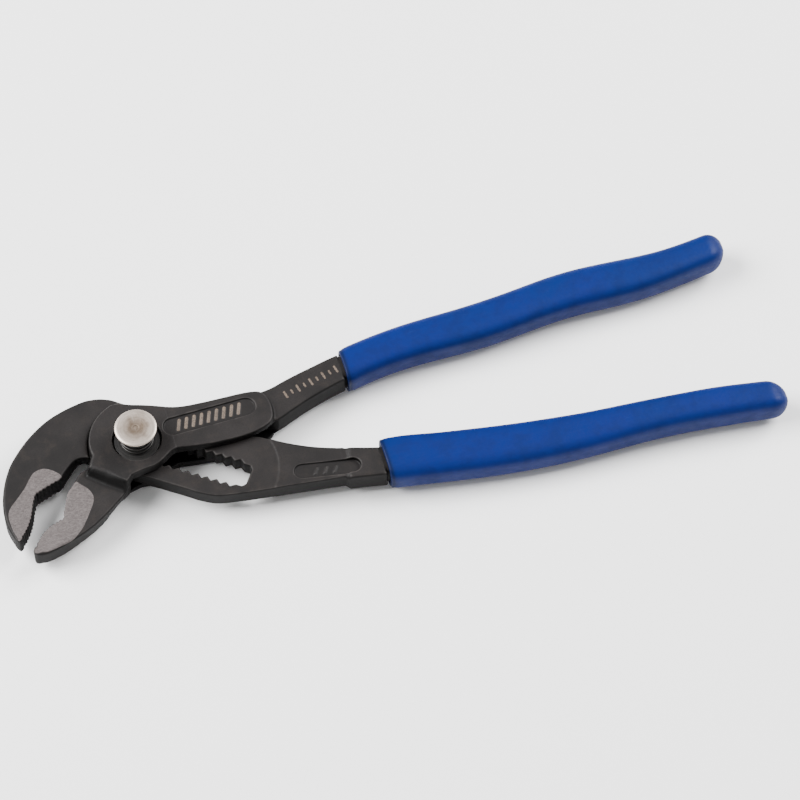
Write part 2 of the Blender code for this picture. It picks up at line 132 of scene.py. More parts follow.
# the throat's wall leans: its upper edge comes lower than its bottom edge
HOOK_THROAT = curve([(-25.7, -5.0), (-24.3, -3.6), (-22.4, -1.9), (-20.9, -0.8), (-19.5, -0.3), (-18, -0.3), (-16.6, -0.6), (-15.55, -1.0)])
HOOK_THROAT_REAR = curve([(-25.7, -5.0), (-24.2, -3.3), (-22.2, -1.2), (-20.6, 0.5), (-19.3, 1.5), (-18, 1.8), (-16.6, 1.4), (-15.55, 0.9)])
HOOK_INNER_R = 15.55
TONGUE_HIDDEN_TOP = [(29, -5.3), (25, -4.2), (21.6, -2.4), slot_point(0.6, 9.9), (4.2, 11.2), (2.7, 14.0), (0.2, 15.2)]
TONGUE_IN_HOOK = [(-6, 16.8), (-13, 16), (-18, 11), (-20, 5), (-17.5, 1.6), (-16.2, 0.2)]
TONGUE_LOWER = [slot_point(-12.2, -9.5), slot_point(-10, -9.9), slot_point(20, -9.9)]
ARM_BOTTOM = curve([(13.2, -21.5), (16, -23.2), (19, -24.6), (23, -25.5), (31, -26.6), (41, -27.7), (51, -28.8), (61.5, -29.9)])
ARM_TOP = curve([(61.5, -19.4), (58, -18.2), (54, -16.7), (50, -15.0), (45, -12.4), (41, -10.0), (37, -7.7), (33, -6.2)])
LOWER_SHANK_BOTTOM = [(59.6, -30.2), (60.4, -30.9), (65, -31.6), (69, -32.3), (72.3, -32.9)]
LOWER_SHANK_TOP = [(72.3, -22.6), (69, -21.7), (65, -20.5), (61.0, -19.3), (60.2, -19.4)]
JAW_ROOT_TOP = [(-13.0, -4.9), (-17.0, -4.4)]
JAW_THROAT = curve([(-17.6, -4.4), (-19.5, -4.9), (-20.8, -5.9), (-22.5, -8), (-24.5, -10), (-25.9, -12)])
JAW_FACE_INNER = [(-25.9, -12.0), (-27, -14.5), (-28, -17), (-28.7, -19.3)]
JAW_FACE_OUTER = [(-28.7, -19.3), (-31, -19.9), (-33.6, -20.9), (-35.5, -22.0), (-37, -23.5), (-38.5, -25.3), (-39.7, -26.8)]
JAW_TIP = [(-40.3, -27.9), (-40.1, -28.9), (-39.2, -29.5)]
JAW_BACK = curve([
    (-37, -29.8), (-35, -29.5), (-32, -28.6), (-29, -27.5), (-26, -26.1), (-23, -24.7), (-20, -23.2), (-17, -21.6),
    (-14.5, -19.8), (-12, -17.8), (-10, -16.1), (-8.4, -14.7),
])
# the back is drafted: its upper rim reaches further out than its lower rim, most of all near the boss
JAW_BACK_LOW = curve([
    (-37, -29.8), (-35, -29.5), (-32, -28.6), (-29, -27.5), (-26, -26.1), (-23, -24.7), (-20, -23.2), (-17, -21.3),
    (-14.5, -19.1), (-12.5, -17.3), (-10.5, -15.6), (-8.2, -13.8),
])
JAW_BACK_HIGH = curve([
    (-37, -29.8), (-35, -29.7), (-32, -29.1), (-29, -28.3), (-26, -27.3), (-23, -26.1), (-20, -24.7), (-17, -22.9),
    (-14.3, -21.1), (-11.8, -19.3), (-9.6, -17.7), (-7.8, -16.3),
])
JAW_ROOT_INNER = [(-7.4, -12.8), (-8.6, -8.8)]
BOSS_ARC = arc(BOSS_R, 108, 187, 44)
# the left edge runs down to a steep ramp that meets the jaw's face; FACE is at the cheek's surface, FOOT on the jaw
BOSS_FACE = [(-15.8, -3.0), (-16.5, -4.2), (-17.1, -5.6), (-12.2, -9.1), (-6.5, -13.9)]
BOSS_FOOT = [(-15.9, -3.0), (-16.7, -4.2), (-17.9, -7.0), (-13.1, -11.6), (-7.7, -15.8)]
BOSS_BOTTOM = curve([(-4.6, -12.0), (-0.6, -11.2), (3.4, -10.7), (6.4, -9.2), (9.2, -7.3), (11.4, -6.5)])
BOSS_TOP = curve([(11.4, 9.1), (8.5, 10.3), (5.6, 11.4), (3.8, 12.0), (1.7, 12.65), (0.0, 13.3), (-1.3, 13.9), (-3.0, 14.4)])
PLATE_BOTTOM = curve([(9.0, -7.0), (11.4, -6.6), (15, -7.1), (20, -7.7), (25, -8.0), (30, -8.0), (35, -7.6), (39.4, -6.5), (42.0, -5.2), (43.4, -3.2), (43.9, -0.4), (43.8, 2.4), (43.0, 4.8), (41.6, 6.6), (39.4, 7.3), (36, 7.6), (30, 7.6), (24, 7.6), (18, 7.8), (14.4, 8.3), (11.4, 9.2), (9.0, 10.0)])
UPPER_SHANK = curve([(38.5, -4.6), (42.5, -4.6), (46.2, -3.6), (50, -2.0), (55, 0.0), (60, 1.7), (65, 3.2), (69.1, 4.2)]) + curve([(69.1, 13.8), (65, 13.0), (60, 11.8), (55, 10.6), (50.5, 9.4), (46, 8.0), (42.5, 7.4), (38.5, 7.0)])
WINDOW = [
    (-34, 7.8), (-13.9, -3.9), (-8.15, -7.25), (-4.1, -16.8), (8, -34), (46, -34), (47.2, -6.0), (44.6, -4.0),
    (40, -2.0), (35, -0.4), (30, 1.6), (25.7, 3.7), (21.6, 5.7), (18.6, 6.8), (17.6, 12), (10, 26), (-20, 34), (-40, 26),
]
UPPER_PILL = ((12.0, 1.3), (35.8, 2.3), 3.1)
LOWER_PILL = ((47.0, -23.9), (62.8, -26.6), 2.5)
JAW_PATCH = closed_curve([
    (-22.3, -7.6), (-20.5, -9.4), (-18.8, -11.5), (-17.9, -14), (-18.3, -16.4), (-20, -19.3), (-22, -22.3), (-24, -24.8),
    (-26.5, -27.0), (-29, -28.2), (-33, -29.0), (-38, -30.2), (-42, -30.6), (-43, -27), (-36, -19), (-29, -15), (-26, -8),
])
HOOK_PATCH = closed_curve([
    (-25.7, -4.6), (-27.5, -2.3), (-29.5, -0.9), (-31.3, -0.5), (-33.5, -1), (-35, -2.3), (-37.5, -5.5), (-40, -8),
    (-43, -10.8), (-44.4, -12.6), (-44.9, -15), (-44.7, -19), (-44.1, -22), (-43.4, -25), (-39, -22), (-35, -14), (-31, -9), (-26, -7.5),
])
UPPER_HANDLE = [
    (60, 6.8, 6.8), (70, 9.3, 6.62), (80, 11.3, 6.45), (90, 12.5, 6.5), (100, 13, 6.65), (110, 13.2, 6.85),
    (120, 13.8, 6.95), (130, 14.9, 6.9), (140, 16.1, 6.95), (150, 16.7, 7), (160, 16.5, 7), (170, 16.3, 6.65),
    (180, 16.7, 6.05), (190, 17.9, 5.7), (201.5, 19.6, 5.65),
]
LOWER_HANDLE = [
    (60, -25.2, 8), (73, -27.11, 7.9), (80, -27.97, 8.05), (90, -29.7, 7.9), (100, -31.3, 7.8), (110, -32.7, 7.65),
    (120, -33.8, 7.4), (130, -34.6, 7.05), (140, -35.1, 6.6), (150, -35.3, 6.2), (160, -35.6, 5.9), (170, -36.2, 5.8),
    (180, -37.05, 5.8), (190, -38.25, 5.6), (202.3, -40.05, 5.35),
]
UPPER_START, UPPER_END = 69.8, 201.3
LOWER_START, LOWER_END = 73.0, 202.3


def spline_table(stations):
    """Smooth reading of (x, a, b) rows: natural cubic through the rows."""
    t = np.array(stations, float)
    x = t[:, 0]
    out = []
    for col in (1, 2):
        y = t[:, col]
        n = len(x)
        h = np.diff(x)
        m = np.zeros((n, n))
        r = np.zeros(n)
        m[0, 0] = m[-1, -1] = 1
        for i in range(1, n - 1):
            m[i, i - 1], m[i, i], m[i, i + 1] = h[i - 1], 2 * (h[i - 1] + h[i]), h[i]
            r[i] = 6 * ((y[i + 1] - y[i]) / h[i] - (y[i] - y[i - 1]) / h[i - 1])
        out.append((y, np.linalg.solve(m, r)))

    def read(q):
        q = np.clip(np.asarray(q, float), x[0], x[-1])
        i = np.clip(np.searchsorted(x, q) - 1, 0, len(x) - 2)
        h = x[i + 1] - x[i]
        a, b = (x[i + 1] - q) / h, (q - x[i]) / h
        return [a * y[i] + b * y[i + 1] + ((a ** 3 - a) * c[i] + (b ** 3 - b) * c[i + 1]) * h * h / 6 for y, c in out]

    return read


UPPER_READ, LOWER_READ = spline_table(UPPER_HANDLE), spline_table(LOWER_HANDLE)


# ------------------------------------------------------------------ distance fields
def poly_sd(points, X, Y):
    """Signed distance to a closed outline, negative inside."""
    P = np.array(points, float)
    Q = np.roll(P, -1, 0)
    best = np.full(X.shape, 1e12)
    inside = np.zeros(X.shape, bool)
    for (ax, ay), (bx, by) in zip(P, Q):
        ex, ey = bx - ax, by - ay
        n = ex * ex + ey * ey
        if n < 1e-12:
            continue
        wx, wy = X - ax, Y - ay
        t = np.clip((wx * ex + wy * ey) / n, 0, 1)
        np.minimum(best, (wx - ex * t) ** 2 + (wy - ey * t) ** 2, out=best)
        if ay != by:
            cross = ((ay <= Y) & (by > Y)) | ((by <= Y) & (ay > Y))
            inside ^= cross & (X < ax + (Y - ay) / (by - ay) * ex)
    d = np.sqrt(best)
    return np.where(inside, -d, d)


def line_distance(points, X, Y):
    best = np.full(X.shape, 1e12)
    for (ax, ay), (bx, by) in zip(points, points[1:]):
        ex, ey = bx - ax, by - ay
        wx, wy = X - ax, Y - ay
        t = np.clip((wx * ex + wy * ey) / (ex * ex + ey * ey), 0, 1)
        np.minimum(best, (wx - ex * t) ** 2 + (wy - ey * t) ** 2, out=best)
    return np.sqrt(best)


def deep(a):
    return a[..., None] if isinstance(a, np.ndarray) and a.ndim == 2 else a


def extrude(sd, half, r, Z):
    """Plate from a plan distance, with rims rounded to radius r."""
    a = deep(sd) + deep(r)
    b = np.abs(Z) - (deep(half) - deep(r))
    return (np.minimum(np.maximum(a, b), 0) + np.hypot(np.maximum(a, 0), np.maximum(b, 0)) - deep(r)).astype(np.float32)


def smin(a, b, k):
    h = np.clip(0.5 + 0.5 * (b - a) / k, 0, 1)
    return (b + (a - b) * h - k * h * (1 - h)).astype(np.float32)


def smax(a, b, k):
    return -smin(-a, -b, k)


def step(edge0, edge1, x):
    t = np.clip((x - edge0) / (edge1 - edge0), 0, 1)
    return t * t * (3 - 2 * t)


def axis_points(*runs):
    """Grid lines from (start, end, step) runs that follow on from each other."""
    out = [runs[0][0]]
    for start, end, size in runs:
        n = max(1, int(round((end - start) / size)))
        out += [start + (end - start) * (k + 1) / n for k in range(n)]
    return np.array(out)


def surface(F, xs, ys, zs):
    """Quad mesh of the field's zero level, one point in each crossed cell."""
    inside = F < 0
    n = [s - 1 for s in F.shape]
    count = np.zeros(n, np.int8)
    corners = [(i, j, k) for i in (0, 1) for j in (0, 1) for k in (0, 1)]
    for i, j, k in corners:
        count += inside[i:i + n[0], j:j + n[1], k:k + n[2]]
    active = (count > 0) & (count < 8)
    cells = np.argwhere(active)
    index = np.full(n, -1, np.int32)
    index[active] = np.arange(len(cells))
    axes = (xs, ys, zs)
    total, hits = np.zeros((len(cells), 3)), np.zeros(len(cells))
    for a in corners:
        for b in corners:
            if sum(q - p for p, q in zip(a, b)) != 1 or any(q < p for p, q in zip(a, b)):
                continue
            ia, ib = cells + a, cells + b
            fa, fb = F[tuple(ia.T)].astype(float), F[tuple(ib.T)].astype(float)
            m = (fa < 0) != (fb < 0)
            t = fa[m] / (fa[m] - fb[m])
            for d in range(3):
                pa, pb = axes[d][ia[m, d]], axes[d][ib[m, d]]
                total[m, d] += pa + (pb - pa) * t
            hits[m] += 1
    verts = total / hits[:, None]
    quads = []
    for d in range(3):
        lo = [slice(None)] * 3
        hi = [slice(None)] * 3
        lo[d], hi[d] = slice(0, -1), slice(1, None)
        starts = inside[tuple(lo)]
        change = starts != inside[tuple(hi)]
        e, f = (d + 1) % 3, (d + 2) % 3
        where = np.argwhere(change)
        ok = (where[:, e] > 0) & (where[:, f] > 0) & (where[:, e] < F.shape[e] - 1) & (where[:, f] < F.shape[f] - 1)
        where = where[ok]
        ring = []
        for de, df in ((-1, -1), (0, -1), (0, 0), (-1, 0)):
            c = where.copy()
            c[:, e] += de
            c[:, f] += df
            ring.append(index[tuple(c.T)])
        q = np.stack(ring, 1)
        flip = ~starts[tuple(where.T)]
        q[flip] = q[flip][:, ::-1]
        quads.append(q)
    return verts, np.concatenate(quads), cells


def curvature_of(F, xs, ys, zs, cells):
    """Divergence of the field's gradient at the crossed cells: above 0 on outside edges, below 0 in inside corners."""
    lap = np.zeros(F.shape, np.float32)
    for d, line in enumerate((xs, ys, zs)):
        g = np.gradient(F, line, axis=d)
        lap += np.gradient(g, line, axis=d)
    c = np.zeros(len(cells))
    for i in (0, 1):
        for j in (0, 1):
            for k in (0, 1):
                c += lap[tuple((cells + (i, j, k)).T)]
    return c / 8


def add_mesh(name, verts, faces, attributes=None, sharp=None):
    """Object with its mesh in the row frame, in metres, from points in millimetres about the pivot."""
    mesh = bpy.data.meshes.new(name)
    v = (np.asarray(verts, float) + ORIGIN) * MM
    if isinstance(faces, np.ndarray):
        mesh.vertices.add(len(v))
        mesh.vertices.foreach_set("co", v.astype(np.float32).ravel())
        mesh.loops.add(faces.size)
        mesh.loops.foreach_set("vertex_index", faces.astype(np.int32).ravel())
        mesh.polygons.add(len(faces))
        mesh.polygons.foreach_set("loop_start", np.arange(0, faces.size, faces.shape[1], dtype=np.int32))
        mesh.update(calc_edges=True)
        mesh.validate()
    else:
        mesh.from_pydata([tuple(p) for p in v], [], faces)
        mesh.update()
    mesh.polygons.foreach_set("use_smooth", np.ones(len(mesh.polygons), bool))
    for key, values in (attributes or {}).items():
        layer = mesh.attributes.new(key, "FLOAT", "POINT")
        layer.data.foreach_set("value", np.asarray(values, np.float32))
    if sharp:
        mesh.set_sharp_from_angle(angle=math.radians(sharp))
    obj = bpy.data.objects.new(name, mesh)
    bpy.context.scene.collection.objects.link(obj)
    return obj


# ------------------------------------------------------------------ material helpers
class Nodes:
    """Short way to lay out a material's nodes."""

    def __init__(self, name):
        self.mat = bpy.data.materials.new(name)
        self.mat.use_nodes = True
        self.tree = self.mat.node_tree
        self.shader = self.tree.nodes["Principled BSDF"]

    def new(self, kind, **values):
        node = self.tree.nodes.new(kind)
        for key, value in values.items():
            if hasattr(node, key):
                setattr(node, key, value)
            else:
                self.put(node.inputs[key], value)
        return node

    def put(self, socket, value):
        if isinstance(value, bpy.types.NodeSocket):
            self.tree.links.new(value, socket)
        else:
            socket.default_value = value

    def coords(self):
        return self.new("ShaderNodeTexCoord").outputs["Object"]

    def noise(self, vector, scale, detail=4.0, rough=0.55, distortion=0.0):
        node = self.new("ShaderNodeTexNoise", Scale=scale, Detail=detail, Roughness=rough, Distortion=distortion)
        self.put(node.inputs["Vector"], vector)
        return node.outputs["Fac"]

    def stretch(self, vector, scale):
        node = self.new("ShaderNodeMapping")
        self.put(node.inputs["Vector"], vector)
        node.inputs["Scale"].default_value = scale
        return node.outputs["Vector"]

    def ramp(self, value, low, high, out_low=0.0, out_high=1.0):
        node = self.new("ShaderNodeMapRange")
        node.clamp = True
        node.interpolation_type = "SMOOTHSTEP"
        for key, v in (("Value", value), ("From Min", low), ("From Max", high), ("To Min", out_low), ("To Max", out_high)):
            self.put(node.inputs[key], v)
        return node.outputs["Result"]

    def math(self, op, a, b=0.0, c=0.0, clamp=False):
        node = self.new("ShaderNodeMath")
        node.operation = op
        node.use_clamp = clamp
        for socket, v in zip(node.inputs, (a, b, c)):
            self.put(socket, v)
        return node.outputs["Value"]

    def mix(self, factor, a, b):
        node = self.new("ShaderNodeMix")
        node.data_type = "RGBA"
        self.put(node.inputs["Factor"], factor)
        for key, v in (("A", a), ("B", b)):
            socket = [s for s in node.inputs if s.name == key and s.type == "RGBA"][0]
            self.put(socket, (*v, 1.0) if isinstance(v, tuple) and len(v) == 3 else v)
        return [s for s in node.outputs if s.type == "RGBA"][0]

    def mixf(self, factor, a, b):
        node = self.new("ShaderNodeMix")
        node.data_type = "FLOAT"
        for key, v in (("Factor", factor), ("A", a), ("B", b)):
            self.put([s for s in node.inputs if s.name == key and s.type == "VALUE"][0], v)
        return [s for s in node.outputs if s.type == "VALUE"][0]

    def attribute(self, name):
        return self.new("ShaderNodeAttribute", attribute_name=name).outputs["Fac"]

    def bump(self, height, strength, distance, normal=None):
        node = self.new("ShaderNodeBump", Strength=strength, Distance=distance)
        self.put(node.inputs["Height"], height)
        if normal is not None:
            self.put(node.inputs["Normal"], normal)
        return node.outputs["Normal"]

    def radius(self, vector, centre):
        """Distance from an upright axis."""
        shift = self.new("ShaderNodeVectorMath", operation="SUBTRACT")
        self.put(shift.inputs[0], vector)
        shift.inputs[1].default_value = (centre[0], centre[1], 0.0)
        flat = self.new("ShaderNodeVectorMath", operation="MULTIPLY")
        self.put(flat.inputs[0], shift.outputs["Vector"])
        flat.inputs[1].default_value = (1.0, 1.0, 0.0)
        length = self.new("ShaderNodeVectorMath", operation="LENGTH")
        self.put(length.inputs[0], flat.outputs["Vector"])
        return length.outputs["Value"]

    def finish(self, colour, roughness, metallic, normal=None, **constants):
        self.put(self.shader.inputs["Base Color"], colour if not (isinstance(colour, tuple) and len(colour) == 3) else (*colour, 1.0))
        self.put(self.shader.inputs["Roughness"], roughness)
        self.put(self.shader.inputs["Metallic"], metallic)
        if normal is not None:
            self.put(self.shader.inputs["Normal"], normal)
        for key, value in constants.items():
            self.shader.inputs[key.replace("_", " ")].default_value = value
        return self.mat


def black_steel(name, tone=1.0):
    """Black oxide over forged and belt-finished steel: painted shade darkening the upright flanks, bare ground patches,
    worn rims with painted highlight, light filled marks, painted shade in the slot, pocket, window and ramp.
    """
    n = Nodes(name)
    p = n.coords()
    ground, rim_wear_and_highlight, ink, recess, flank, painted_cavity_shade = (n.attribute(k) for k in ("ground", "rim_wear_and_highlight", "ink", "recess", "flank", "painted_cavity_shade"))
    blotch = n.noise(p, 55.0, 5.0, 0.6)
    cloud = n.noise(p, 260.0, 4.0, 0.6)
    grain = n.noise(p, 2400.0, 3.0, 0.6)
    belt = n.noise(n.stretch(p, (450.0, 3200.0, 1500.0)), 1.0, 3.0, 0.6)
    dark = tuple(c * tone for c in (0.0092, 0.0084, 0.0084))
    light = tuple(c * tone for c in (0.0165, 0.0146, 0.0143))
    warm = tuple(c * tone for c in (0.0215, 0.0175, 0.0155))
    oxide = n.mix(n.ramp(blotch, 0.3, 0.7), dark, light)
    oxide = n.mix(n.ramp(cloud, 0.48, 0.78, 0.0, 0.6), oxide, warm)
    oxide = n.mix(n.ramp(grain, 0.35, 0.75, 0.0, 0.45), oxide, (0.0055, 0.0052, 0.0052))
    oxide = n.mix(n.math("MULTIPLY", recess, 0.35), oxide, (0.0062, 0.0058, 0.0058))
    # painted shade: upright flanks are darkened to stand in for the shade they fall in
    oxide = n.mix(n.math("MULTIPLY", flank, 0.80), oxide, (0.0016, 0.0014, 0.0014))
    # real rim wear and painted highlight: convex edges are lightened both as worn metal and to stand in for the light
    # they catch
    rubbed_and_highlight = n.math("MULTIPLY", n.ramp(rim_wear_and_highlight, 0.6, 2.0), n.ramp(cloud, 0.32, 0.62, 0.3, 1.0))
    rubbed_and_highlight = n.math("MULTIPLY", rubbed_and_highlight, n.math("SUBTRACT", 0.36, n.math("MULTIPLY", flank, 0.30)))
    oxide = n.mix(rubbed_and_highlight, oxide, (0.066, 0.060, 0.057))
    # painted shade: the slot, the pocket under the button, the joint window and the ramp corner are darkened where
    # shadow falls
    oxide = n.mix(painted_cavity_shade, oxide, (0.0013, 0.0012, 0.0012))
    bare_grain = n.noise(n.stretch(p, (1100.0, 2600.0, 1100.0)), 1.0, 4.0, 0.65)
    speck = n.noise(p, 3000.0, 2.0, 0.7)
    bare = n.mix(n.ramp(bare_grain, 0.3, 0.7), (0.066, 0.0575, 0.0565), (0.112, 0.098, 0.0958))
    bare = n.mix(n.ramp(speck, 0.48, 0.70, 0.0, 0.55), bare, (0.038, 0.033, 0.0325))
    patch = n.ramp(n.math("ADD", ground, n.ramp(cloud, 0.3, 0.7, -0.07, 0.07)), 0.38, 0.62)
    colour = n.mix(patch, oxide, bare)
    marks = n.mix(n.ramp(speck, 0.4, 0.7), (0.128, 0.098, 0.077), (0.060, 0.047, 0.038))
    ink_in = n.math("MULTIPLY", n.ramp(ink, 0.35, 0.65), n.ramp(cloud, 0.25, 0.6, 0.55, 0.95))
    colour = n.mix(ink_in, colour, marks)
    rough = n.mixf(patch, n.ramp(grain, 0.3, 0.7, 0.44, 0.58), n.ramp(bare_grain, 0.3, 0.7, 0.44, 0.58))
    rough = n.mixf(rubbed_and_highlight, rough, 0.36)
    rough = n.mixf(n.math("MULTIPLY", flank, 0.8), rough, 0.62)
    metal = n.mixf(patch, 0.0, 0.2)
    height = n.math("ADD", n.math("MULTIPLY", grain, 0.6), n.math("MULTIPLY", belt, 0.5))
    height = n.math("ADD", height, n.math("MULTIPLY", cloud, 0.7))
    first = n.bump(height, 0.3, 0.00012)
    normal = n.bump(n.math("MULTIPLY", n.math("ADD", bare_grain, speck), patch), 0.3, 0.0001, first)
    return n.finish(colour, rough, metal, normal, Specular_IOR_Level=0.11)


def turned_steel(name, base, lighter, rough_low, rough_high, metallic, centre, ring_scale=2600.0):
    """Plated or bare turned metal with fine rings about the pivot axis and light handling marks."""
    n = Nodes(name)
    p = n.coords()
    radius = n.radius(p, centre)
    rings = n.new("ShaderNodeTexNoise", Scale=1.0, Detail=3.0, Roughness=0.7)
    rings.noise_dimensions = "1D"
    n.put(rings.inputs["W"], n.math("MULTIPLY", radius, ring_scale))
    ring = rings.outputs["Fac"]
    cloud = n.noise(p, 240.0, 4.0, 0.6)
    fine = n.noise(p, 1900.0, 3.0, 0.6)
    scratch = n.noise(n.stretch(p, (4200.0, 260.0, 900.0)), 1.0, 2.0, 0.5, 0.4)
    colour = n.mix(n.ramp(ring, 0.3, 0.7), base, lighter)
    colour = n.mix(n.ramp(cloud, 0.45, 0.75, 0.0, 0.35), colour, tuple(c * 0.72 for c in base))
    colour = n.mix(n.ramp(scratch, 0.66, 0.74, 0.0, 0.5), colour, tuple(min(1.0, c * 1.25) for c in lighter))
    rough = n.ramp(n.math("ADD", n.math("MULTIPLY", ring, 0.6), n.math("MULTIPLY", fine, 0.4)), 0.3, 0.7, rough_low, rough_high)
    height = n.math("ADD", n.math("MULTIPLY", ring, 0.8), n.math("MULTIPLY", fine, 0.3))
    return n.finish(colour, rough, metallic, n.bump(height, 0.18, 0.00006))


def vinyl(name, tone=1.0):
    """Dipped blue vinyl: slight orange peel, soft mottling, scuffs, and painted shade darkening the lip at the mouth.
    """
    n = Nodes(name)
    p = n.coords()
    lip = n.attribute("lip")
    soft = n.noise(p, 45.0, 3.0, 0.5)
    mottle = n.noise(p, 210.0, 4.0, 0.6)
    peel = n.noise(p, 900.0, 3.0, 0.55)
    pore = n.noise(p, 3000.0, 2.0, 0.6)
    scuff = n.noise(n.stretch(p, (160.0, 2200.0, 900.0)), 1.0, 3.0, 0.6, 0.6)
    deep_blue = tuple(c * tone for c in (0.0004, 0.0066, 0.060))
    blue = tuple(c * tone for c in (0.0006, 0.0104, 0.084))
    violet = tuple(c * tone for c in (0.0011, 0.0094, 0.094))
    colour = n.mix(n.ramp(soft, 0.3, 0.7), blue, violet)
    colour = n.mix(n.ramp(mottle, 0.35, 0.7, 0.0, 0.6), colour, deep_blue)
    colour = n.mix(n.ramp(scuff, 0.64, 0.78, 0.0, 0.22), colour, (0.006, 0.028, 0.14))
    # painted shade: the rolled lip and the skin just past it are darkened where the mouth's shade falls
    colour = n.mix(n.math("MULTIPLY", lip, 0.85), colour, (0.0008, 0.0045, 0.028))
    rough = n.ramp(n.math("ADD", n.math("MULTIPLY", mottle, 0.6), n.math("MULTIPLY", scuff, 0.4)), 0.3, 0.7, 0.40, 0.56)
    height = n.math("ADD", n.math("MULTIPLY", peel, 1.0), n.math("MULTIPLY", pore, 0.25))
    height = n.math("ADD", height, n.math("MULTIPLY", mottle, 0.9))
    return n.finish(colour, rough, 0.0, n.bump(height, 0.3, 0.00022), Specular_IOR_Level=0.11)


# ------------------------------------------------------------------ hook jaw lever
def tang_sd(read, start, end, shrink, half_z, X, Y, Z):
    """Rounded bar inside a handle sleeve."""
    yc, hw = (deep(a) for a in read(X))
    hw = hw - shrink
    p = (np.abs((Y[..., None] - yc) / hw) ** 4 + np.abs(Z / half_z) ** 4) ** 0.25
    d = (p - 1) * half_z
    return np.maximum(np.maximum(d, start - X[..., None]), X[..., None] - end).astype(np.float32)


def marks_sd(bars, X, Y):
    """Distance to a row of short round-ended bars given as (x0, y0, x1, y1, radius)."""
    best = np.full(X.shape, 1e9)
    for x0, y0, x1, y1, r in bars:
        best = np.minimum(best, line_distance([(x0, y0), (x1, y1)], X, Y) - r)
    return best


def slanted_bars(a, b, count, height, lean, r):
    """Row of leaning bars between two points."""
    a, b = np.array(a), np.array(b)
    along = (b - a) / np.hypot(*(b - a))
    across = np.array((-along[1], along[0]))
    out = []
    for k in range(count):
        c = a + (b - a) * k / (count - 1)
        up = across * height / 2 + along * lean / 2
        out.append((*(c - up), *(c + up), r))
    return out


def patch_attributes(verts, faces_mesh, patch, curvature, ink_sd, recess_sd, side_free=0.35):
    x, y, z = verts.T
    ground = step(0.3, -0.3, poly_sd(patch, x, y)) * step(JAW_Z - side_free - 0.35, JAW_Z - side_free, np.abs(z))
    # convex curvature, the mask for rim wear and painted highlight
    rim_wear_and_highlight = np.clip(curvature, 0, 4)
    ink = step(0.12, -0.12, ink_sd(x, y)) * step(0.3, 0.6, z)
    recess = step(0.2, -0.2, recess_sd(x, y)) * step(0.3, 0.6, z)
    return {"ground": ground, "rim_wear_and_highlight": rim_wear_and_highlight, "ink": ink, "recess": recess}


def flank_of(verts, quads):
    """1 on walls that stand upright, 0 on faces that lie flat."""
    a, b, c, d = (verts[quads[:, k]] for k in range(4))
    normal = np.cross(c - a, d - b)
    total = np.zeros_like(verts)
    for k in range(4):
        np.add.at(total, quads[:, k], normal)
    total /= np.maximum(np.linalg.norm(total, axis=1, keepdims=True), 1e-9)
    return step(0.88, 0.58, np.abs(total[:, 2]))


